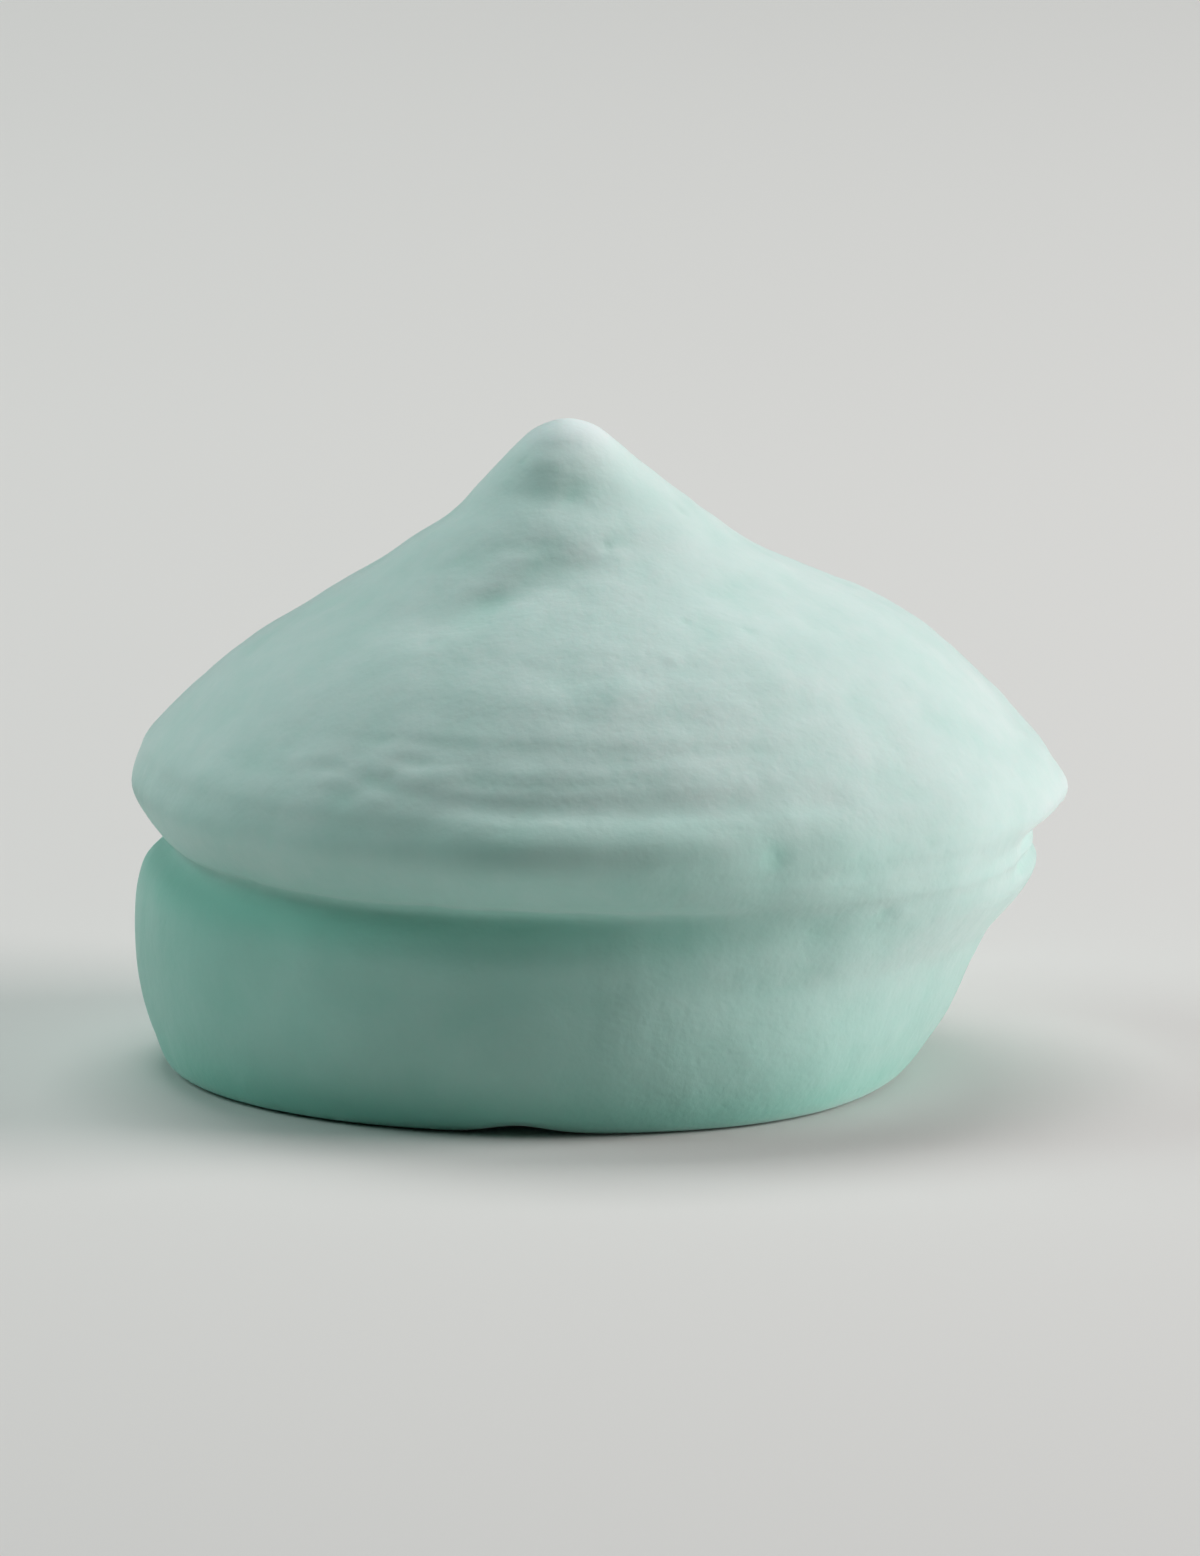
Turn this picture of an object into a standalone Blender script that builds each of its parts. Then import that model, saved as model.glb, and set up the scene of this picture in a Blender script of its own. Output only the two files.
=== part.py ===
"""A piped meringue cookie: one solid kiss of baked meringue, about 40 mm across and 28 mm tall.

A wide foot stands on its flat underside and leans a little to the left. A thick brim overhangs it,
and above the brim a dome of fading piping ledges draws in to a pinched, twisted tip.
Blender 4.5, metres, +Z up. The origin is at the middle of the footprint, on the surface it stands on,
+X is to the right and -Y is the front.
"""

import math

import bmesh
import bpy
import numpy as np
from mathutils import Vector, noise

MM = 0.001

# Driving dimensions
BRIM_RADIUS = 19.9 * MM
BRIM_HEIGHT = 12.0 * MM
CREASE_HEIGHT = 9.8 * MM
TIP_HEIGHT = 28.1 * MM
FLAT_RADIUS = 15.0 * MM
FOOT_LEAN = -2.5 * MM
TIP_LEAN = -1.2 * MM
DEPTH_SHARE = 0.97

SEGMENTS = 90
SEED = 7

FRONT = 1.5 * math.pi
RIGHT = 0.0

# The outline from the edge of the flat underside up to the tip. Each station gives its radius, its
# height, how far its centre lies from the brim's centre, and the rings up to the next station.
OUTLINE = [
    (FLAT_RADIUS, 0.0, FOOT_LEAN, 2),
    (16.1 * MM, 0.5 * MM, FOOT_LEAN, 2),
    (17.4 * MM, 3.0 * MM, -2.1 * MM, 2),
    (18.4 * MM, 6.2 * MM, -1.5 * MM, 3),
    (19.1 * MM, 8.6 * MM, -0.4 * MM, 3),
    (18.1 * MM, CREASE_HEIGHT, -0.2 * MM, 2),
    (18.9 * MM, 10.4 * MM, 0.0, 3),
    (BRIM_RADIUS, BRIM_HEIGHT, 0.0, 3),
    (19.55 * MM, 13.4 * MM, 0.0, 4),
    (18.7 * MM, 14.7 * MM, -0.1 * MM, 7),
    (15.5 * MM, 17.8 * MM, -0.1 * MM, 4),
    (12.6 * MM, 19.8 * MM, 0.0, 5),
    (8.3 * MM, 22.1 * MM, -0.65 * MM, 7),
    (5.0 * MM, 24.5 * MM, -0.85 * MM, 6),
    (3.3 * MM, 26.0 * MM, -1.1 * MM, 6),
    (1.85 * MM, 27.25 * MM, TIP_LEAN, 5),
    (0.0, TIP_HEIGHT, TIP_LEAN, 0),
]

# Piping ledges round the front of the dome: height, and how far each stands out.
LEDGES = [
    (14.2 * MM, 0.26 * MM),
    (16.0 * MM, 0.12 * MM),
    (17.4 * MM, 0.09 * MM),
    (19.0 * MM, 0.05 * MM),
]
LEDGE_WIDTH = 0.42 * MM

# Folds wound round the tip, each a groove through points of angle in degrees and height, and its depth.
FOLDS = [
    ([(195, 21.3 * MM), (242, 21.6 * MM), (256, 22.7 * MM), (288, 24.0 * MM), (335, 25.2 * MM)], 0.48 * MM),
    ([(170, 26.5 * MM), (232, 26.9 * MM), (262, 26.4 * MM), (310, 25.8 * MM)], 0.36 * MM),
    ([(110, 23.1 * MM), (180, 24.0 * MM), (225, 24.9 * MM), (260, 25.2 * MM)], 0.26 * MM),
    ([(10, 23.8 * MM), (80, 22.6 * MM), (150, 22.0 * MM)], 0.22 * MM),
]
FOLD_WIDTH = 0.6 * MM


def angle_between(angle, centre):
    """The signed angle from centre to angle, from -pi to pi."""
    return (angle - centre + math.pi) % (2 * math.pi) - math.pi


def bump(distance, width):
    """A smooth hump, 1 at no distance and near 0 past two widths."""
    return np.exp(-((distance / width) ** 2))


def wobble(angle, seed, waves=5):
    """A smooth closed wave round the cookie, from about -1 to 1, with its random phases seeded."""
    phases = np.random.default_rng(SEED + seed).uniform(0, 2 * math.pi, waves)
    return sum(np.cos((k + 1) * angle + phases[k]) / (k + 1.5) for k in range(waves)) / 1.3


def outline_curve():
    """Points along the outline as a Catmull-Rom curve, as rows of radius, height and lean."""
    stations = np.array([row[:3] for row in OUTLINE])
    before = stations[0] - (1.2 * MM, 0.0, 0.0)
    after = stations[-2] * (-1, 1, 1)
    knots = np.vstack([before, stations, after])
    rows = []
    for i, (*_, rings) in enumerate(OUTLINE[:-1]):
        a, b, c, d = knots[i : i + 4]
        for t in np.arange(rings) / rings:
            bend = (2 * a - 5 * b + 4 * c - d) * t**2 + (3 * (b - c) + d - a) * t**3
            rows.append(b + 0.5 * ((c - a) * t + bend))
    rows.append(stations[-1])
    return np.array(rows)


def outward(curve):
    """The outward direction across the outline at each of its points, as radius and height shares."""
    along = np.gradient(curve[:, :2], axis=0)
    across = np.stack([along[:, 1], -along[:, 0]], axis=1)
    return across / np.linalg.norm(across, axis=1, keepdims=True)


def ledge_relief(height, angle):
    """Each ledge is a ring that stands out below a shallow groove, and fades out round the sides."""
    relief = 0.0
    shows = 0.12 + 0.88 * bump(angle_between(angle, FRONT), 0.75)
    for i, (level, depth) in enumerate(LEDGES):
        rise = height - level - 0.2 * MM * wobble(angle, 10 + i)
        step = bump(rise + LEDGE_WIDTH, LEDGE_WIDTH) - bump(rise - LEDGE_WIDTH, LEDGE_WIDTH)
        relief = relief + depth * shows * step
    return relief


def fold_relief(height, angle):
    """Each fold is a groove with a soft lip under it, deepest half way along and gone at its ends."""
    relief = 0.0
    turned = np.degrees(angle)
    for points, depth in FOLDS:
        angles, levels = zip(*points)
        rise = height - np.interp(turned, angles, levels)
        along = np.clip((turned - angles[0]) / (angles[-1] - angles[0]), 0, 1)
        strength = depth * np.sin(math.pi * along) ** 0.7
        relief = relief - strength * bump(rise, FOLD_WIDTH)
        relief = relief + 0.5 * strength * bump(rise + 1.6 * FOLD_WIDTH, FOLD_WIDTH)
    return relief


def foot_reach(height, angle):
    """What is added to the radius of the foot, which is set back under the brim in front, is full at
    the front right of the underside, and runs up into the brim on the right with hardly a crease."""
    set_back = 0.9 * MM * bump(angle_between(angle, FRONT - 0.1), 0.75) * bump(height - 7.8 * MM, 2.4 * MM)
    full = 1.1 * MM * bump(angle_between(angle, FRONT + 0.6), 0.5) * bump(height, 4 * MM)
    joined = np.exp(-((angle_between(angle, RIGHT - 0.15) / 1.05) ** 4))
    filled = 0.95 * MM * joined * bump(height - CREASE_HEIGHT, 0.65 * MM)
    return filled + full - set_back


def brim_relief(height, angle):
    """The brim has a torn lip on the right and is a little uneven all round."""
    right = angle_between(angle, RIGHT)
    torn = 0.25 * MM * bump(right - 0.03, 0.16) * bump(height - 11.8 * MM, 0.55 * MM)
    notch = 0.25 * MM * bump(right, 0.5) * bump(height - 10.6 * MM, 0.4 * MM)
    uneven = 0.12 * MM * wobble(angle, 3, 9) * bump(height - BRIM_HEIGHT, 2.5 * MM)
    return torn - notch + uneven


def cookie_rings():
    """The points of every ring above the flat underside, as an array of rings by segments by 3."""
    curve = outline_curve()
    radius, height, lean = (column[:, None] for column in curve.T)
    across = outward(curve)
    angle = np.arange(SEGMENTS)[None, :] * (2 * math.pi / SEGMENTS)

    brim = bump(height - BRIM_HEIGHT, 3.2 * MM)
    foot = bump(height - 5 * MM, 5 * MM) * np.clip(height / MM, 0, 1)
    roundness = 1 + 0.006 * wobble(angle, 1, 3) * brim + 0.008 * wobble(angle, 2, 4) * foot
    relief = ledge_relief(height, angle) + fold_relief(height, angle) + brim_relief(height, angle)
    relief = relief * np.clip(radius / (2.5 * MM), 0, 1)

    reach = radius * roundness + foot_reach(height, angle) + across[:, 0:1] * relief
    level = height + across[:, 1:2] * relief
    level = level + (0.22 * wobble(angle, 4) - 0.3 * np.cos(angle)) * MM * brim
    heel_gap = 0.32 * MM * bump(angle_between(angle, FRONT - 0.05), 0.11)
    level = level + heel_gap * bump(height, 0.6 * MM)
    return np.stack([lean + reach * np.cos(angle), DEPTH_SHARE * reach * np.sin(angle), level], axis=-1)


def add_lumps(rings):
    """Broad, shallow lumps of the whipped surface, which fade out at the flat underside and the tip."""
    for ring in rings[1:-1]:
        for point in ring:
            strength = 0.2 * MM * min(point[2] / (2 * MM), 1.0, (TIP_HEIGHT - point[2]) / (2 * MM))
            place = Vector(point) / (6.5 * MM)
            away = Vector((point[0], point[1], 0.0)).normalized()
            point[:2] += (strength * noise.noise(place) * away)[:2]
            point[2] += 0.4 * strength * noise.noise(place + Vector((9, 2, 5)))


def centre_footprint(rings):
    """Moves the points so that the footprint's middle is on the vertical axis."""
    flat = rings.reshape(-1, 3)
    middle = (flat.min(axis=0) + flat.max(axis=0)) / 2
    rings[..., :2] -= middle[:2]


def skin_mesh(name, rings):
    """A closed mesh of quads between the rings, a fan at the tip and one flat face underneath."""
    shape = bmesh.new()
    inner = rings[0].copy()
    hub = inner.mean(axis=0)
    inner = hub + (inner - hub) * 0.85
    inner[:, 2] = 0.0
    layers = [[shape.verts.new(p) for p in ring] for ring in [inner, *rings[:-1]]]
    tip = shape.verts.new(rings[-1].mean(axis=0))
    for low, high in zip(layers, layers[1:]):
        for i in range(SEGMENTS):
            j = (i + 1) % SEGMENTS
            shape.faces.new((low[i], low[j], high[j], high[i]))
    for i in range(SEGMENTS):
        shape.faces.new((layers[-1][i], layers[-1][(i + 1) % SEGMENTS], tip))
    shape.faces.new(layers[0][::-1])
    bmesh.ops.recalc_face_normals(shape, faces=shape.faces)
    mesh = bpy.data.meshes.new(name)
    shape.to_mesh(mesh)
    shape.free()
    return mesh


def meringue_material():
    """Dry, matt whipped sugar in a pale blue green."""
    material = bpy.data.materials.new("meringue")
    material.use_nodes = True
    shader = material.node_tree.nodes["Principled BSDF"]
    shader.inputs["Base Color"].default_value = (0.42, 0.66, 0.62, 1.0)
    shader.inputs["Roughness"].default_value = 0.85
    shader.inputs["Metallic"].default_value = 0.0
    return material


def build():
    for old in list(bpy.data.objects):
        bpy.data.objects.remove(old, do_unlink=True)
    rings = cookie_rings()
    add_lumps(rings)
    centre_footprint(rings)
    mesh = skin_mesh("meringue_cookie", rings)
    mesh.materials.append(meringue_material())
    mesh.shade_smooth()
    cookie = bpy.data.objects.new("meringue_cookie", mesh)
    bpy.context.scene.collection.objects.link(cookie)


build()
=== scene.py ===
"""Looks for the piped meringue cookie: a finely detailed skin, pale blue-green material and a soft studio.

The skin has the solid's form with finer relief on it, and is fitted to the solid's box. Heights are above
the surface that the cookie stands on. Angles round it are in radians where a comment doesn't say degrees:
0 is +X, on the right, and -Y is the front.
"""

import math

import bpy
import numpy as np
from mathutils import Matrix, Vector, noise


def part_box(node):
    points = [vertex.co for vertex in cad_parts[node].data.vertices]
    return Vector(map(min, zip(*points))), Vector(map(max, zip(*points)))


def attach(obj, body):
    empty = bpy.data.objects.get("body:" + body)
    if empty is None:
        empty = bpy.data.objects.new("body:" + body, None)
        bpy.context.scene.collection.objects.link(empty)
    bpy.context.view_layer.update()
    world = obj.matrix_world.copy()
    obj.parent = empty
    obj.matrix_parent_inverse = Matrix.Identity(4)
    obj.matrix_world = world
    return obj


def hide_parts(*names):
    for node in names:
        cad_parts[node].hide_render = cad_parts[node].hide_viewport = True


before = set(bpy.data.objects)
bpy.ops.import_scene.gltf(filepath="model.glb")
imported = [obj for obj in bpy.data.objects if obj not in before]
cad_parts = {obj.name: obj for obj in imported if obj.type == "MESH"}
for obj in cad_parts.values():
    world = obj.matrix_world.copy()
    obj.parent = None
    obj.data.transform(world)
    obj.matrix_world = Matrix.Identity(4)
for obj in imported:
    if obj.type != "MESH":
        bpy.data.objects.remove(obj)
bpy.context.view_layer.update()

MM = 0.001
NODE = "meringue_cookie"

# The cookie's form, as the solid has it
BRIM_RADIUS = 19.9 * MM
BRIM_HEIGHT = 12.0 * MM
CREASE_HEIGHT = 9.8 * MM
SIDE_RADIUS = 18.4 * MM
SIDE_HEIGHT = 6.2 * MM
TIP_HEIGHT = 28.1 * MM
FLAT_RADIUS = 15.0 * MM
FOOT_LEAN = -2.5 * MM
TIP_LEAN = -1.2 * MM
DEPTH_SHARE = 0.97

FRONT = 1.5 * math.pi
RIGHT = 0.0
LEFT = 1.08 * math.pi

# Radius, height and lean of each station of the outline, from the flat underside up to the tip
OUTLINE = [
    (FLAT_RADIUS, 0.0, FOOT_LEAN),
    (16.1 * MM, 0.5 * MM, FOOT_LEAN),
    (17.4 * MM, 3.0 * MM, -2.1 * MM),
    (SIDE_RADIUS, SIDE_HEIGHT, -1.5 * MM),
    (19.1 * MM, 8.6 * MM, -0.4 * MM),
    (18.1 * MM, CREASE_HEIGHT, -0.2 * MM),
    (18.9 * MM, 10.4 * MM, 0.0),
    (BRIM_RADIUS, BRIM_HEIGHT, 0.0),
    (19.55 * MM, 13.4 * MM, 0.0),
    (18.7 * MM, 14.7 * MM, -0.1 * MM),
    (15.5 * MM, 17.8 * MM, -0.1 * MM),
    (12.6 * MM, 19.8 * MM, 0.0),
    (8.3 * MM, 22.1 * MM, -0.65 * MM),
    (5.0 * MM, 24.5 * MM, -0.85 * MM),
    (3.3 * MM, 26.0 * MM, -1.1 * MM),
    (2.3 * MM, 26.95 * MM, TIP_LEAN),
    (1.3 * MM, 27.75 * MM, TIP_LEAN),
    (0.0, TIP_HEIGHT, TIP_LEAN),
]
# The curve through the stations sets out from this far inside the first one
LEAD_IN = 1.2 * MM
STEPS_BETWEEN_STATIONS = 40

# The skin's mesh. The inner ring of the underside lies at this share of the outer one's radius.
SEGMENTS = 508
RINGS = 194
INNER_RING = 0.85
# Keeps a division by a length from being one by zero
SHORTEST = 1e-12

# The seed of all random draws, and what is added to it for each wave and each kind of mark
SEED = 7
BRIM_ROUND = 1
FOOT_ROUND = 2
BRIM_EDGE = 3
BRIM_RISE = 4
LEDGE_PATH = 10
PIT_DRAW = 21
BLISTER_DRAW = 22

# Offsets that tell one noise from another
LUMP_RISE_OFFSET = (9, 2, 5)
WARP_OFFSET = (3, 1, 4)
GAP_OFFSET = (8, 8, 1)
STRIATION_OFFSET = (5, 0, 2)
CRUMPLE_OFFSET = (2, 7, 7)

# Piping ledges: height, how far each stands out, how broad its shelf is, and the angle of its left end
# from the front
LEDGES = [
    (13.9 * MM, 0.31 * MM, 0.66 * MM, -0.36),
    (16.0 * MM, 0.045 * MM, 0.42 * MM, -0.45),
    (17.4 * MM, 0.04 * MM, 0.42 * MM, -0.5),
    (19.0 * MM, 0.03 * MM, 0.42 * MM, -0.4),
]
# How far a ledge wanders up and down, and how far and how broadly its left end turns up
LEDGE_WANDER = 0.2 * MM
LEDGE_TURN_UP = 0.15 * MM
TURN_UP_SPREAD = 0.15
# The angles over which a ledge sets in on the left and fades out on the right, and its strength elsewhere
LEDGE_LEFT_END = 0.035
LEDGE_RIGHT_FADE = 0.42
LEDGE_ELSEWHERE = 0.08
# The ledges show once more a little to the right: strength, angle from the front and spread
LEDGE_REPEAT = (0.6, 0.55, 0.09)
# In its own widths, how far a shelf's middle lies below the ledge's height, and how broad its flanks are
SHELF_DROP = 1.5
SHELF_LOW_FLANK = 3.0
SHELF_HIGH_FLANK = 1.4
# How deep the groove above the shelf is, as a share of how far the shelf stands out
GROOVE_SHARE = 0.7

# Folds round the tip: points of angle in degrees and height, and the depth
FOLDS = [
    ([(185, 20.6 * MM), (232, 20.8 * MM), (246, 21.8 * MM), (278, 23.2 * MM), (325, 24.5 * MM)], 0.22 * MM),
    ([(170, 25.5 * MM), (232, 25.8 * MM), (262, 25.4 * MM), (320, 24.8 * MM)], 0.14 * MM),
    ([(110, 23.1 * MM), (180, 24.0 * MM), (225, 24.9 * MM), (260, 25.2 * MM)], 0.16 * MM),
    ([(10, 23.8 * MM), (80, 22.6 * MM), (150, 22.0 * MM)], 0.16 * MM),
]
FOLD_WIDTH = 0.8 * MM
FOLD_TAPER = 1.4
# The lip under a fold: its height as a share of the fold's depth, and how many fold widths below it lies
FOLD_LIP_SHARE = 0.2
FOLD_LIP_DROP = 1.6

# Local swells and hollows. Each row gives how much, the angle of the middle and the spread round the
# cookie, and the height of the middle and the reach up and down.
SET_BACK = (0.9 * MM, FRONT - 0.1, 0.75, 7.8 * MM, 2.4 * MM)
UNDERCUT = (0.8 * MM, FRONT - 0.1, 0.7, 8.9 * MM, 1.1 * MM)
LIP_NOTCH = (0.9 * MM, RIGHT, 0.5, 10.8 * MM, 0.75 * MM)
LIP_LIFT = (0.35 * MM, RIGHT, 0.5, 11.0 * MM, 0.8 * MM)
TORN_LIP = (0.3 * MM, RIGHT + 0.03, 0.16, 12.3 * MM, 0.7 * MM)
FULL_HEEL = (1.1 * MM, FRONT + 0.6, 0.5, 0.0, 4.0 * MM)
HEEL_GAP = (0.32 * MM, FRONT - 0.05, 0.11, 0.0, 0.6 * MM)
TIP_CAP = (0.1 * MM, FRONT - 0.4, 0.6, 26.6 * MM, 0.9 * MM)
# Rows of the same kind, for swells with a broad, even middle
FILLED_CREASE = (0.9 * MM, RIGHT - 0.2, 1.05, CREASE_HEIGHT, 0.8 * MM)
HANGING_BRIM = (0.2 * MM, FRONT - 0.5, 0.95, 10.0 * MM, 2.4 * MM)

# The smoothed join of foot and brim at the front right: where it is, how far the line from the foot's side
# to the brim bows out, and how steeply the smoothing sets in at the line's ends
SMOOTH_ANGLE = RIGHT - 0.8
SMOOTH_SPREAD = 0.62
SMOOTH_BOW = 1.0 * MM
SMOOTH_ENDS = 8

# How far up and down from its edge the brim reaches, how far from round it is as a share of the radius,
# how far it rises and falls round the cookie, and how far it tilts down to the right
BRIM_REACH = 3.2 * MM
BRIM_UNROUND = 0.006
BRIM_WAVE = 0.22 * MM
BRIM_TILT = 0.3 * MM
# How uneven the brim's edge is
EDGE_WAVE = 0.12 * MM
EDGE_REACH = 2.5 * MM
# The height of the foot's middle, the height over which its unevenness sets in, and how far from round it is
FOOT_MIDDLE = 5.0 * MM
FOOT_START = 1.0 * MM
FOOT_UNROUND = 0.008
# The ledges and folds fade out inside this radius
CALM_RADIUS = 2.5 * MM

# Broad lumps of the whipped surface: depth, size, the height over which they fade at the underside and the
# tip, and how far they go up and down as a share of how far they go out and in
LUMP_DEPTH = 0.2 * MM
LUMP_SIZE = 6.5 * MM
LUMP_FADE = 2.0 * MM
LUMP_RISE = 0.4

# Noise all over the skin: depth, size and offset
SKIN_NOISE = [
    (0.06 * MM, 2.4 * MM, (0, 0, 0)),
    (0.016 * MM, 0.95 * MM, (4, 4, 9)),
]

# Fine broken lines over the front of the dome: depth, size, how many times as long as high, the height of
# their middle and their reach, and where round the cookie they are strongest: angle, spread and the share
# elsewhere
STRIATION_DEPTH = 0.05 * MM
STRIATION_SIZE = 0.5 * MM
STRIATION_LENGTH = 25
STRIATION_HEIGHT = 16.4 * MM
STRIATION_REACH = 3.2 * MM
STRIATION_PLACE = (FRONT, 0.95, 0.3)
# How far and how broadly the lines bend, and the gaps that break them
WARP_DEPTH = 0.35 * MM
WARP_SIZE = 7.0 * MM
GAP_SIZE = 4.5 * MM
GAP_STRETCH = (1, 1, 0.3)
GAP_CONTRAST = 1.4

# Crumpled skin: the noise's size, a patch of it at the left end of the ledges, and faint folds at the tip,
# with where round the cookie these are strongest
CRUMPLE_SIZE = 0.85 * MM
CRUMPLE_STRETCH = (2.2, 2.2, 0.8)
CRUMPLED_PATCH = (0.16 * MM, FRONT - 0.55, 0.22, 15.5 * MM, 1.0 * MM)
TIP_WRINKLE_DEPTH = 0.06 * MM
TIP_WRINKLE_HEIGHT = 23.8 * MM
TIP_WRINKLE_REACH = 2.3 * MM
TIP_WRINKLE_PLACE = (FRONT - 0.3, 0.9, 0.35)

# Round marks: how many, their draw, how far they stand out, their smallest and largest size, and the
# shares of the outline's length between which they lie
MARKS = [
    (18, PIT_DRAW, -0.06 * MM, (0.22 * MM, 0.38 * MM), (0.05, 0.97)),
    (34, BLISTER_DRAW, 0.06 * MM, (0.3 * MM, 0.7 * MM), (0.05, 0.9)),
]
WEAKEST_MARK = 0.4

# Dents: angle in degrees, height, size, how many times as long as high, and depth
DENTS = [
    (-67, 12.5 * MM, 0.6 * MM, 1.0, 0.1 * MM),
    (-95, 15.2 * MM, 0.5 * MM, 3.0, 0.04 * MM),
    (-120, 21.5 * MM, 0.55 * MM, 1.8, 0.1 * MM),
    (-112, 23.0 * MM, 0.85 * MM, 1.0, 0.08 * MM),
    (-107, 25.5 * MM, 0.6 * MM, 1.0, 0.08 * MM),
]
# The fine relief fades out over these heights at the flat underside and at the tip
FLAT_FADE = 1.2 * MM
TIP_FADE = 0.4 * MM

# Painted shade: how far the colour deepens, from 0 to 1, in hollows of the fine relief, and the depth that
# takes all of it
SUNKEN_PAINTED_SHADE = 0.4
SUNKEN_SHADE_DEPTH = 0.16 * MM
# The same down the foot, partly the foot's own deeper colour and partly painted shade, and the heights from
# which and up to which it falls away
FOOT_TINT_AND_SHADE = 0.5
FOOT_TINT_AND_SHADE_FALLS = (7.0 * MM, 16.0 * MM)
FOOT_TINT_AND_SHADE_CURVE = 1.5
# Painted light: how much less of it there is at the front right, where the light falls, low and high on the
# foot, and the heights between
PAINTED_LIGHT_ANGLE = RIGHT - 0.5
PAINTED_LIGHT_SPREAD = 0.75
PAINTED_LIGHT_LOW = 0.1
PAINTED_LIGHT_HIGH = 0.6
PAINTED_LIGHT_RISES = (3.0 * MM, 7.0 * MM)
# Painted shade in the crease, strongest at the front left, and the lit stretch on the right that has none
CREASE_PAINTED_SHADE = 0.42
CREASE_SHADE_HEIGHT = 9.0 * MM
CREASE_SHADE_REACH = 1.2 * MM
CREASE_SHADE_PLACE = (FRONT - 0.4, 1.3, 0.4)
LIT_NO_SHADE_ANGLE = RIGHT - 0.3
LIT_NO_SHADE_SPREAD = 1.0
# Painted teal bounce light on the left of the foot, and painted contact shade along the foot's lower edge
LEFT_PAINTED_BOUNCE_LIGHT = 0.14
LEFT_BOUNCE_SPREAD = 0.7
LEFT_BOUNCE_FALLS = (8.0 * MM, 11.0 * MM)
EDGE_PAINTED_SHADE = 0.4
EDGE_SHADE_REACH = 1.8 * MM
# Painted shade on the front of the brim and in the hollow under the tip, as rows like those of the swells
BRIM_PAINTED_SHADE = (0.25, FRONT, 0.9, BRIM_HEIGHT, 2.2 * MM)
TIP_HOLLOW_PAINTED_SHADE = (0.15, FRONT - 0.15, 0.7, 25.8 * MM, 0.8 * MM)

# Painted highlight: how pale the skin is painted, from 0 to 1, at the tip and along the torn lip
TIP_PAINTED_HIGHLIGHT = 0.85
TIP_HIGHLIGHT_REACH = 1.1 * MM
LIP_PAINTED_HIGHLIGHT = (0.4, RIGHT, 0.45, BRIM_HEIGHT, 1.0 * MM)

# The skin's colours: the two that mottle it, the one it deepens to in its tint and painted shade, and the
# pale one of the painted highlight
PALE = (0.605, 0.75, 0.725)
MIDDLE = (0.52, 0.705, 0.67)
DEEP_TINT_AND_SHADE = (0.195, 0.60, 0.48)
PAINTED_HIGHLIGHT_PALE = (0.74, 0.82, 0.83)
# Where a ramp's two colours stand in the range of the noise that drives it
RAMP_STOPS = (0.3, 0.7)

# The skin's finish, the ranges of its roughness and of a pore, and how deep its bumps are
SKIN_FINISH = {
    "Subsurface Weight": 0.25,
    "Subsurface Radius": (0.45, 1.0, 0.85),
    "Subsurface Scale": 1.2 * MM,
    "Specular IOR Level": 0.35,
    "Sheen Weight": 0.4,
    "Sheen Roughness": 0.5,
}
ROUGHNESS_RANGE = {"To Min": 0.55, "To Max": 0.85}
PORE_RANGE = {"From Min": 0.05, "From Max": 0.30}
SPECK_DEPTH = 0.022 * MM
GRAIN_DEPTH = 0.014 * MM
PORE_DEPTH = 0.006 * MM

# The floor: its two tones, its roughness, and half its side in metres
FLOOR_DARK = (0.735, 0.70, 0.695)
FLOOR_LIGHT = (0.75, 0.715, 0.71)
FLOOR_ROUGHNESS = 0.9
FLOOR_HALF = 2.5

# Lights, all square, aimed at the middle of the cookie: azimuth and elevation in degrees, distance and
# size in metres, power in watts, and colour
LIGHTS = {
    "key_light": (-1.5, 18, 0.60, 0.32, 3.58, (1.0, 0.93, 0.925)),
    "top_light": (95, 68, 0.70, 0.45, 2.6, (0.95, 1.0, 0.98)),
    "left_light": (172, 38, 0.80, 0.45, 2.15, (0.77, 1.0, 0.955)),
}
LIGHT_AIM = 14.0 * MM
WORLD_STRENGTH = 0.015

# The camera stands in front, about 11 degrees above the cookie, as the photograph's does
CAMERA_AZIMUTH = -90
CAMERA_ELEVATION = 11
CAMERA_DISTANCE = 1.0
CAMERA_AIM = 12.5 * MM
CAMERA_LENS = 700
CAMERA_SENSOR = 36


def angle_between(angle, centre):
    """The signed angle from centre to angle, from -pi to pi."""
    return (angle - centre + math.pi) % (2 * math.pi) - math.pi


def bump(distance, width):
    """A smooth hump, 1 at no distance and near 0 past two widths."""
    return np.exp(-((distance / width) ** 2))


def plateau(distance, width):
    """A hump with a broader, more even middle and steeper sides."""
    return np.exp(-((distance / width) ** 4))


def swell(row, height, angle, across=bump):
    """One of the local swells, from its row of amount, angle, spread, height and reach."""
    amount, centre, spread, level, reach = row
    return amount * across(angle_between(angle, centre), spread) * bump(height - level, reach)


def strongest_at(angle, centre, spread, elsewhere):
    """1 at the centre, and down to the share elsewhere past the spread."""
    return elsewhere + (1 - elsewhere) * bump(angle_between(angle, centre), spread)


def falls(height, low, high):
    """1 up to the low height, and down to 0 at the high one."""
    return 1 - np.clip((height - low) / (high - low), 0, 1)


def wobble(angle, draw, waves=5):
    """A smooth closed wave round the cookie, from about -1 to 1, with its random phases seeded."""
    phases = np.random.default_rng(SEED + draw).uniform(0, 2 * math.pi, waves)
    return sum(np.cos((k + 1) * angle + phases[k]) / (k + 1.5) for k in range(waves)) / 1.3


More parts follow.
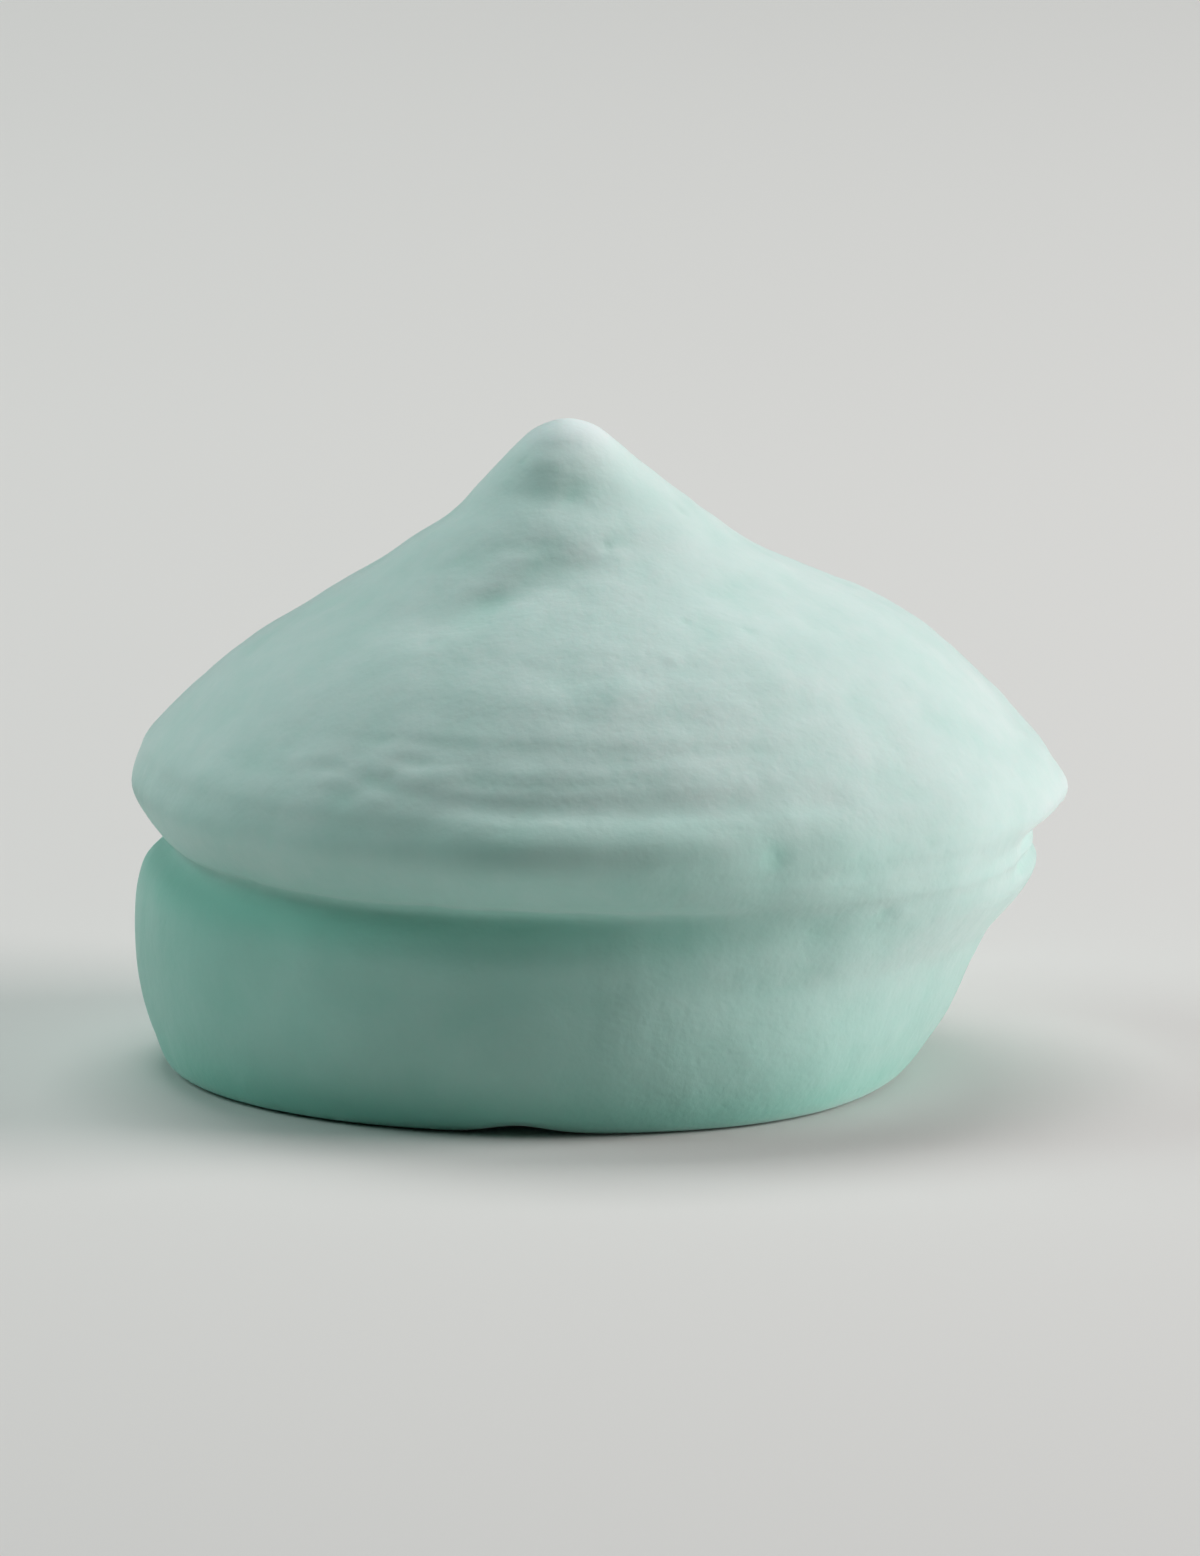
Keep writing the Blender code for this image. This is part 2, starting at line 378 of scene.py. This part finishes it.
def outline_curve():
    """The outline at even steps of its own length, as rows of radius, height and lean."""
    stations = np.array(OUTLINE)
    before = stations[0] - (LEAD_IN, 0.0, 0.0)
    after = stations[-2] * (-1, 1, 1)
    knots = np.vstack([before, stations, after])
    rows = []
    for i in range(len(OUTLINE) - 1):
        a, b, c, d = knots[i : i + 4]
        for t in np.arange(STEPS_BETWEEN_STATIONS) / STEPS_BETWEEN_STATIONS:
            bend = (2 * a - 5 * b + 4 * c - d) * t**2 + (3 * (b - c) + d - a) * t**3
            rows.append(b + 0.5 * ((c - a) * t + bend))
    rows.append(stations[-1])
    rows = np.array(rows)
    steps = np.linalg.norm(np.diff(rows[:, :2], axis=0), axis=1)
    length = np.concatenate([[0], np.cumsum(steps)])
    even = np.linspace(0, length[-1], RINGS)
    return np.stack([np.interp(even, length, column) for column in rows.T], axis=1)


def outward(curve):
    """The outward direction across the outline at each of its points, as radius and height shares."""
    along = np.gradient(curve[:, :2], axis=0)
    across = np.stack([along[:, 1], -along[:, 0]], axis=1)
    return across / np.linalg.norm(across, axis=1, keepdims=True)


def ledge_relief(height, angle):
    """Each ledge is a shelf below a shallow groove. It sets in sharply on the left and fades to the right."""
    relief = 0.0
    turned = angle_between(angle, FRONT)
    fades = plateau(np.maximum(turned, 0), LEDGE_RIGHT_FADE)
    again, again_angle, again_spread = LEDGE_REPEAT
    repeat = again * bump(turned - again_angle, again_spread)
    for i, (level, depth, width, left) in enumerate(LEDGES):
        turns_up = LEDGE_TURN_UP * bump(turned - left, TURN_UP_SPREAD)
        rise = height - level - LEDGE_WANDER * wobble(angle, LEDGE_PATH + i) - turns_up
        starts = 1 + np.exp((left - turned) / LEDGE_LEFT_END)
        shows = LEDGE_ELSEWHERE + (1 - LEDGE_ELSEWHERE) * fades / starts + repeat
        lip = rise + SHELF_DROP * width
        flank = np.where(lip < 0, SHELF_LOW_FLANK, SHELF_HIGH_FLANK) * width
        step = bump(lip, flank) - GROOVE_SHARE * bump(rise - width, width)
        relief = relief + depth * shows * step
    return relief


def fold_relief(height, angle):
    """Each fold is a groove with a soft lip under it, deepest half way along and gone at its ends."""
    relief = 0.0
    turned = np.degrees(angle)
    for points, depth in FOLDS:
        angles, levels = zip(*points)
        rise = height - np.interp(turned, angles, levels)
        along = np.clip((turned - angles[0]) / (angles[-1] - angles[0]), 0, 1)
        strength = depth * np.sin(math.pi * along) ** FOLD_TAPER
        relief = relief - strength * bump(rise, FOLD_WIDTH)
        relief = relief + FOLD_LIP_SHARE * strength * bump(rise + FOLD_LIP_DROP * FOLD_WIDTH, FOLD_WIDTH)
    return relief + swell(TIP_CAP, height, angle)


def foot_reach(radius, height, angle):
    """What is added to the radius of the foot, and where it meets the brim."""
    share = np.clip((height - SIDE_HEIGHT) / (BRIM_HEIGHT - SIDE_HEIGHT), 0, 1)
    hump = share * (1 - share)
    bowed = SIDE_RADIUS + (BRIM_RADIUS - SIDE_RADIUS) * share + SMOOTH_BOW * hump
    where = plateau(angle_between(angle, SMOOTH_ANGLE), SMOOTH_SPREAD) * np.minimum(SMOOTH_ENDS * hump, 1)
    smoothed = where * np.maximum(bowed - radius, 0)
    filled = swell(FILLED_CREASE, height, angle, plateau)
    hollows = sum(swell(row, height, angle) for row in (SET_BACK, UNDERCUT, LIP_NOTCH))
    return np.maximum(filled, smoothed) + swell(FULL_HEEL, height, angle) - hollows


def brim_relief(height, angle):
    """The torn lip on the right, and a little unevenness all round."""
    uneven = EDGE_WAVE * wobble(angle, BRIM_EDGE, waves=9) * bump(height - BRIM_HEIGHT, EDGE_REACH)
    return swell(TORN_LIP, height, angle) + uneven


def cookie_rings():
    """The points of the form's rings, and each point's height on the outline and angle."""
    curve = outline_curve()
    radius, height, lean = (column[:, None] for column in curve.T)
    across = outward(curve)
    angle = np.arange(SEGMENTS)[None, :] * (2 * math.pi / SEGMENTS)

    brim = bump(height - BRIM_HEIGHT, BRIM_REACH)
    foot = bump(height - FOOT_MIDDLE, FOOT_MIDDLE) * np.clip(height / FOOT_START, 0, 1)
    roundness = 1 + BRIM_UNROUND * wobble(angle, BRIM_ROUND, waves=3) * brim
    roundness = roundness + FOOT_UNROUND * wobble(angle, FOOT_ROUND, waves=4) * foot
    relief = ledge_relief(height, angle) + fold_relief(height, angle) + brim_relief(height, angle)
    relief = relief * np.clip(radius / CALM_RADIUS, 0, 1)

    reach = radius * roundness + foot_reach(radius, height, angle) + across[:, 0:1] * relief
    level = height + across[:, 1:2] * relief
    level = level + (BRIM_WAVE * wobble(angle, BRIM_RISE) - BRIM_TILT * np.cos(angle)) * brim
    level = level - swell(HANGING_BRIM, height, angle, plateau)
    level = level + swell(LIP_LIFT, height, angle) + swell(HEEL_GAP, height, angle)
    points = np.stack([lean + reach * np.cos(angle), DEPTH_SHARE * reach * np.sin(angle), level], axis=-1)
    return points, np.broadcast_to(height, level.shape), np.broadcast_to(angle, level.shape)


def add_lumps(rings):
    """Broad, shallow lumps of the whipped surface, which fade out at the flat underside and the tip."""
    for ring in rings[1:-1]:
        for point in ring:
            fade = min(point[2] / LUMP_FADE, 1.0, (TIP_HEIGHT - point[2]) / LUMP_FADE)
            strength = LUMP_DEPTH * fade
            place = Vector(point) / LUMP_SIZE
            away = Vector((point[0], point[1], 0.0)).normalized()
            point[:2] += (strength * noise.noise(place) * away)[:2]
            point[2] += LUMP_RISE * strength * noise.noise(place + Vector(LUMP_RISE_OFFSET))


def noise_at(points, size, offset, stretch=(1.0, 1.0, 1.0)):
    """Smooth noise from -1 to 1 with features of this size. The offset tells one noise from another."""
    scaled = points / (np.array(stretch) * size) + np.array(offset)
    flat = [noise.noise(p) for p in scaled.reshape(-1, 3)]
    return np.array(flat).reshape(points.shape[:-1])


def normals_of(rings):
    """The outward direction at each point of the grid of rings."""
    round_about = np.roll(rings, -1, axis=1) - np.roll(rings, 1, axis=1)
    upward = np.gradient(rings, axis=0)
    normals = np.cross(round_about, upward)
    return normals / np.maximum(np.linalg.norm(normals, axis=-1, keepdims=True), SHORTEST)


def striations(points, height, angle):
    """Fine broken lines left by the piping, over the front of the dome."""
    warp = WARP_DEPTH * noise_at(points, WARP_SIZE, WARP_OFFSET)
    broken = np.clip(0.5 + GAP_CONTRAST * noise_at(points, GAP_SIZE, GAP_OFFSET, GAP_STRETCH), 0, 1)
    drawn_out = points * (1 / STRIATION_LENGTH, 1 / STRIATION_LENGTH, 1.0)
    lines = noise_at(drawn_out + warp[..., None] * (0, 0, 1), STRIATION_SIZE, STRIATION_OFFSET)
    where = strongest_at(angle, *STRIATION_PLACE) * bump(height - STRIATION_HEIGHT, STRIATION_REACH)
    return STRIATION_DEPTH * lines * broken * where


def wrinkles(points, height, angle):
    """A small patch of crumpled skin at the left end of the ledges, and faint folds round the tip."""
    crumpled = noise_at(points, CRUMPLE_SIZE, CRUMPLE_OFFSET, CRUMPLE_STRETCH)
    where = strongest_at(angle, *TIP_WRINKLE_PLACE) * bump(height - TIP_WRINKLE_HEIGHT, TIP_WRINKLE_REACH)
    return crumpled * (swell(CRUMPLED_PATCH, height, angle) + TIP_WRINKLE_DEPTH * where)


def marks(points, count, draw, depth, sizes, shares):
    """Small round marks scattered over the skin, of this depth at the middle of the strongest."""
    random = np.random.default_rng(SEED + draw)
    rows, columns = points.shape[:2]
    first, last = (int(share * rows) for share in shares)
    total = np.zeros((rows, columns))
    for _ in range(count):
        row = random.integers(first, last)
        column = random.integers(0, columns)
        size = random.uniform(*sizes)
        strength = random.uniform(WEAKEST_MARK, 1.0)
        distance = np.linalg.norm(points - points[row, column], axis=-1)
        total = np.maximum(total, strength * bump(distance, size))
    return depth * total


def dent(points, turned, level, size, stretch, depth):
    """One dent, at this angle in degrees and this height."""
    angles = np.degrees(np.arctan2(points[..., 1], points[..., 0]))
    across = np.radians(angles - turned) * np.hypot(points[..., 0], points[..., 1]) / stretch
    return depth * bump(np.hypot(across, points[..., 2] - level), size)


def fine_relief(rings, height, angle):
    """How far the fine relief stands out at each point, or is sunk where it is negative."""
    relief = striations(rings, height, angle) + wrinkles(rings, height, angle)
    relief = relief + sum(depth * noise_at(rings, size, offset) for depth, size, offset in SKIN_NOISE)
    relief = relief + sum(marks(rings, *row) for row in MARKS)
    relief = relief - sum(dent(rings, *row) for row in DENTS)
    at_tip = np.clip((TIP_HEIGHT - height) / TIP_FADE, 0, 1)
    return relief * np.clip(height / FLAT_FADE, 0, 1) * at_tip


def fit_to_solid(rings):
    """The rings, stretched slightly so that their box is the solid's."""
    low, high = (np.array(corner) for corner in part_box(NODE))
    flat = rings.reshape(-1, 3)
    lowest, highest = flat.min(axis=0), flat.max(axis=0)
    return low + (rings - lowest) * ((high - low) / (highest - lowest))


def skin_mesh(name, rings):
    """A closed mesh of quads between the rings, a fan at the tip and one flat face underneath."""
    middle = rings[0].mean(axis=0)
    inner = middle + (rings[0] - middle) * INNER_RING
    body = rings[:-1].reshape(-1, 3)
    points = np.vstack([inner, body, rings[-1].mean(axis=0)])
    after = [(i + 1) % SEGMENTS for i in range(SEGMENTS)]
    faces = []
    for layer in range(len(rings) - 1):
        low, high = layer * SEGMENTS, (layer + 1) * SEGMENTS
        faces += [(low + i, low + j, high + j, high + i) for i, j in enumerate(after)]
    top = (len(rings) - 1) * SEGMENTS
    tip = len(points) - 1
    faces += [(top + i, top + j, tip) for i, j in enumerate(after)]
    faces.append(tuple(range(SEGMENTS))[::-1])
    mesh = bpy.data.meshes.new(name)
    mesh.from_pydata(points.tolist(), [], faces)
    mesh.shade_smooth()
    return mesh


def add_attribute(mesh, name, values):
    """Keeps one number per point of the rings on the mesh. The inner ring underneath takes the first's."""
    numbers = np.concatenate([values[0], values[:-1].ravel(), [values[-1].mean()]])
    attribute = mesh.attributes.new(name, "FLOAT", "POINT")
    attribute.data.foreach_set("value", numbers.astype(np.float32))


def tint_and_shade_of(height, angle):
    """How far the colour deepens at each point, apart from the hollows of the fine relief: partly the foot's
    own deeper colour, mostly painted shade, with painted light at the front right.
    """
    painted_light = PAINTED_LIGHT_LOW + (PAINTED_LIGHT_HIGH - PAINTED_LIGHT_LOW) * (1 - falls(height, *PAINTED_LIGHT_RISES))
    # Deeper down the foot: partly its own colour, partly painted shade
    tint_and_painted_shade = FOOT_TINT_AND_SHADE * falls(height, *FOOT_TINT_AND_SHADE_FALLS) ** FOOT_TINT_AND_SHADE_CURVE
    # Painted light: less deepening at the front right, where the light falls
    tint_and_painted_shade = tint_and_painted_shade * (1 - painted_light * bump(angle_between(angle, PAINTED_LIGHT_ANGLE), PAINTED_LIGHT_SPREAD))

    # Painted shade in the crease, none on the lit right
    crease = strongest_at(angle, *CREASE_SHADE_PLACE)
    crease = crease * (1 - bump(angle_between(angle, LIT_NO_SHADE_ANGLE), LIT_NO_SHADE_SPREAD))
    tint_and_painted_shade = tint_and_painted_shade + CREASE_PAINTED_SHADE * crease * bump(height - CREASE_SHADE_HEIGHT, CREASE_SHADE_REACH)

    # Painted teal bounce light on the left of the foot
    left = bump(angle_between(angle, LEFT), LEFT_BOUNCE_SPREAD)
    tint_and_painted_shade = tint_and_painted_shade + LEFT_PAINTED_BOUNCE_LIGHT * left * falls(height, *LEFT_BOUNCE_FALLS)
    # Painted contact shade along the foot's lower edge
    tint_and_painted_shade = tint_and_painted_shade + EDGE_PAINTED_SHADE * bump(height, EDGE_SHADE_REACH)
    # Painted shade on the front of the brim and in the hollow under the tip
    return tint_and_painted_shade + swell(BRIM_PAINTED_SHADE, height, angle) + swell(TIP_HOLLOW_PAINTED_SHADE, height, angle)


def painted_highlight_of(height, angle):
    """How pale the skin is painted at each point: painted highlight at the tip and along the lip."""
    tip = TIP_PAINTED_HIGHLIGHT * bump(height - TIP_HEIGHT, TIP_HIGHLIGHT_REACH)
    return np.maximum(tip, swell(LIP_PAINTED_HIGHLIGHT, height, angle))


def node(tree, kind, inputs=None, **settings):
    """A shader node with these values in its named sockets, and these settings."""
    made = tree.nodes.new(kind)
    for key, value in settings.items():
        setattr(made, key, value)
    for key, value in (inputs or {}).items():
        made.inputs[key].default_value = value
    return made


def texture(tree, kind, inputs):
    """A procedural texture that is fixed to the object."""
    made = node(tree, kind, inputs)
    place = tree.nodes.new("ShaderNodeTexCoord").outputs["Object"]
    tree.links.new(place, made.inputs["Vector"])
    return made


def map_range(tree, value, limits):
    """The value, mapped by the limits named."""
    made = node(tree, "ShaderNodeMapRange", limits)
    tree.links.new(value, made.inputs["Value"])
    return made.outputs[0]


def ramp(tree, value, low, high):
    """The low colour up to the first stop, and the high one from the second on."""
    made = tree.nodes.new("ShaderNodeValToRGB")
    for element, position, colour in zip(made.color_ramp.elements, RAMP_STOPS, (low, high)):
        element.position = position
        element.color = (*colour, 1.0)
    tree.links.new(value, made.inputs[0])
    return made.outputs[0]


def blend_towards(tree, attribute, socket, colour):
    """The colour of a socket, taken towards this colour as far as the mesh's attribute says."""
    amount = node(tree, "ShaderNodeAttribute", attribute_name=attribute)
    made = node(tree, "ShaderNodeMix", data_type="RGBA")
    first, second = (s for s in made.inputs if s.type == "RGBA")
    tree.links.new(amount.outputs["Fac"], made.inputs[0])
    tree.links.new(socket, first)
    second.default_value = (*colour, 1.0)
    return next(s for s in made.outputs if s.type == "RGBA")


def new_material(name):
    """A new material, as the material, its node tree and its shader."""
    material = bpy.data.materials.new(name)
    material.use_nodes = True
    return material, material.node_tree, material.node_tree.nodes["Principled BSDF"]


def skin_bumps(tree):
    """Specks, grain and pores, one bump on top of the other."""
    specks = texture(tree, "ShaderNodeTexNoise", {"Scale": 1500.0, "Detail": 2.0}).outputs["Fac"]
    grain = texture(tree, "ShaderNodeTexNoise", {"Scale": 3200.0, "Detail": 3.0}).outputs["Fac"]
    pores = texture(tree, "ShaderNodeTexVoronoi", {"Scale": 1300.0, "Randomness": 1.0}).outputs["Distance"]
    pits = map_range(tree, pores, PORE_RANGE)
    normal = None
    for height, depth in ((specks, SPECK_DEPTH), (grain, GRAIN_DEPTH), (pits, PORE_DEPTH)):
        made = node(tree, "ShaderNodeBump", {"Strength": 1.0, "Distance": depth})
        tree.links.new(height, made.inputs["Height"])
        if normal:
            tree.links.new(normal, made.inputs["Normal"])
        normal = made.outputs["Normal"]
    return normal


def meringue_material():
    """Dry matt sugar foam: mottled pale blue green, with painted shade in the hollows, the crease and down
    the foot, painted highlight at the tip and lip, and fine grain and pores.
    """
    material, tree, shader = new_material("meringue_skin")
    mottle = texture(tree, "ShaderNodeTexNoise", {"Scale": 340.0, "Detail": 5.0, "Roughness": 0.65})
    colour = ramp(tree, mottle.outputs["Fac"], MIDDLE, PALE)
    # Painted shade, with a part of the foot's own deeper colour, from the mesh's attribute
    colour = blend_towards(tree, "tint_and_painted_shade", colour, DEEP_TINT_AND_SHADE)
    # Painted shade in the hollows of the fine relief
    colour = blend_towards(tree, "sunken_painted_shade", colour, DEEP_TINT_AND_SHADE)
    # Painted highlight at the tip and along the lip on the right
    colour = blend_towards(tree, "painted_highlight", colour, PAINTED_HIGHLIGHT_PALE)
    tree.links.new(colour, shader.inputs["Base Color"])

    patches = texture(tree, "ShaderNodeTexNoise", {"Scale": 70.0, "Detail": 2.0})
    tree.links.new(map_range(tree, patches.outputs["Fac"], ROUGHNESS_RANGE), shader.inputs["Roughness"])
    for key, value in SKIN_FINISH.items():
        shader.inputs[key].default_value = value
    tree.links.new(skin_bumps(tree), shader.inputs["Normal"])
    return material


def floor_material():
    """A plain pale floor with a faint, slow change of tone."""
    material, tree, shader = new_material("pale_floor")
    tone = texture(tree, "ShaderNodeTexNoise", {"Scale": 6.0})
    tree.links.new(ramp(tree, tone.outputs["Fac"], FLOOR_DARK, FLOOR_LIGHT), shader.inputs["Base Color"])
    shader.inputs["Roughness"].default_value = FLOOR_ROUGHNESS
    return material


def add_object(name, data):
    """A new object of this mesh, light or camera, in the scene."""
    made = bpy.data.objects.new(name, data)
    bpy.context.scene.collection.objects.link(made)
    return made


def dress_cookie():
    """The fine skin, which stands for the solid."""
    rings, height, angle = cookie_rings()
    add_lumps(rings)
    relief = fine_relief(rings, height, angle)
    rings = fit_to_solid(rings + normals_of(rings) * relief[..., None])
    mesh = skin_mesh("meringue_skin", rings)
    # The attributes carry painted shade in the hollows, down the foot, in the crease and under the brim,
    # painted light at the front right, and painted highlight at the tip and lip
    add_attribute(mesh, "sunken_painted_shade", SUNKEN_PAINTED_SHADE * np.clip(-relief / SUNKEN_SHADE_DEPTH, 0, 1))
    add_attribute(mesh, "tint_and_painted_shade", tint_and_shade_of(height, angle))
    add_attribute(mesh, "painted_highlight", painted_highlight_of(height, angle))
    mesh.materials.append(meringue_material())
    skin = add_object("meringue_skin", mesh)
    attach(skin, "root")
    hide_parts(NODE)


def add_floor():
    """A large square that the cookie stands on."""
    corners = [(x * FLOOR_HALF, y * FLOOR_HALF, 0) for x, y in ((-1, -1), (1, -1), (1, 1), (-1, 1))]
    mesh = bpy.data.meshes.new("floor")
    mesh.from_pydata(corners, [], [(0, 1, 2, 3)])
    mesh.materials.append(floor_material())
    floor = add_object("floor", mesh)


def aim(made, azimuth, elevation, distance, aim_height):
    """Stands a light or camera off the cookie's axis, facing it at this height. Azimuth 90 is behind."""
    turned, raised = math.radians(azimuth), math.radians(elevation)
    flat = math.cos(raised)
    way = Vector((math.cos(turned) * flat, math.sin(turned) * flat, math.sin(raised)))
    made.location = Vector((0, 0, aim_height)) + way * distance
    made.rotation_euler = (-way).to_track_quat("-Z", "Y").to_euler()


def add_lights():
    """Three soft lights and a faint even light from all round."""
    for name, (azimuth, elevation, distance, size, power, colour) in LIGHTS.items():
        light = bpy.data.lights.new(name, "AREA")
        light.shape = "SQUARE"
        light.size = size
        light.energy = power
        light.color = colour
        aim(add_object(name, light), azimuth, elevation, distance, LIGHT_AIM)
    world = bpy.data.worlds.new("studio")
    world.use_nodes = True
    background = world.node_tree.nodes["Background"]
    background.inputs["Color"].default_value = (1.0, 1.0, 1.0, 1.0)
    background.inputs["Strength"].default_value = WORLD_STRENGTH
    bpy.context.scene.world = world
    bpy.context.scene.view_settings.view_transform = "Standard"


def add_camera():
    """A long lens in front of the cookie."""
    camera = bpy.data.cameras.new("camera")
    camera.lens = CAMERA_LENS
    camera.sensor_width = CAMERA_SENSOR
    camera.sensor_fit = "HORIZONTAL"
    camera.clip_start = 0.01
    made = add_object("camera", camera)
    aim(made, CAMERA_AZIMUTH, CAMERA_ELEVATION, CAMERA_DISTANCE, CAMERA_AIM)
    bpy.context.scene.camera = made


dress_cookie()
add_floor()
add_lights()
add_camera()
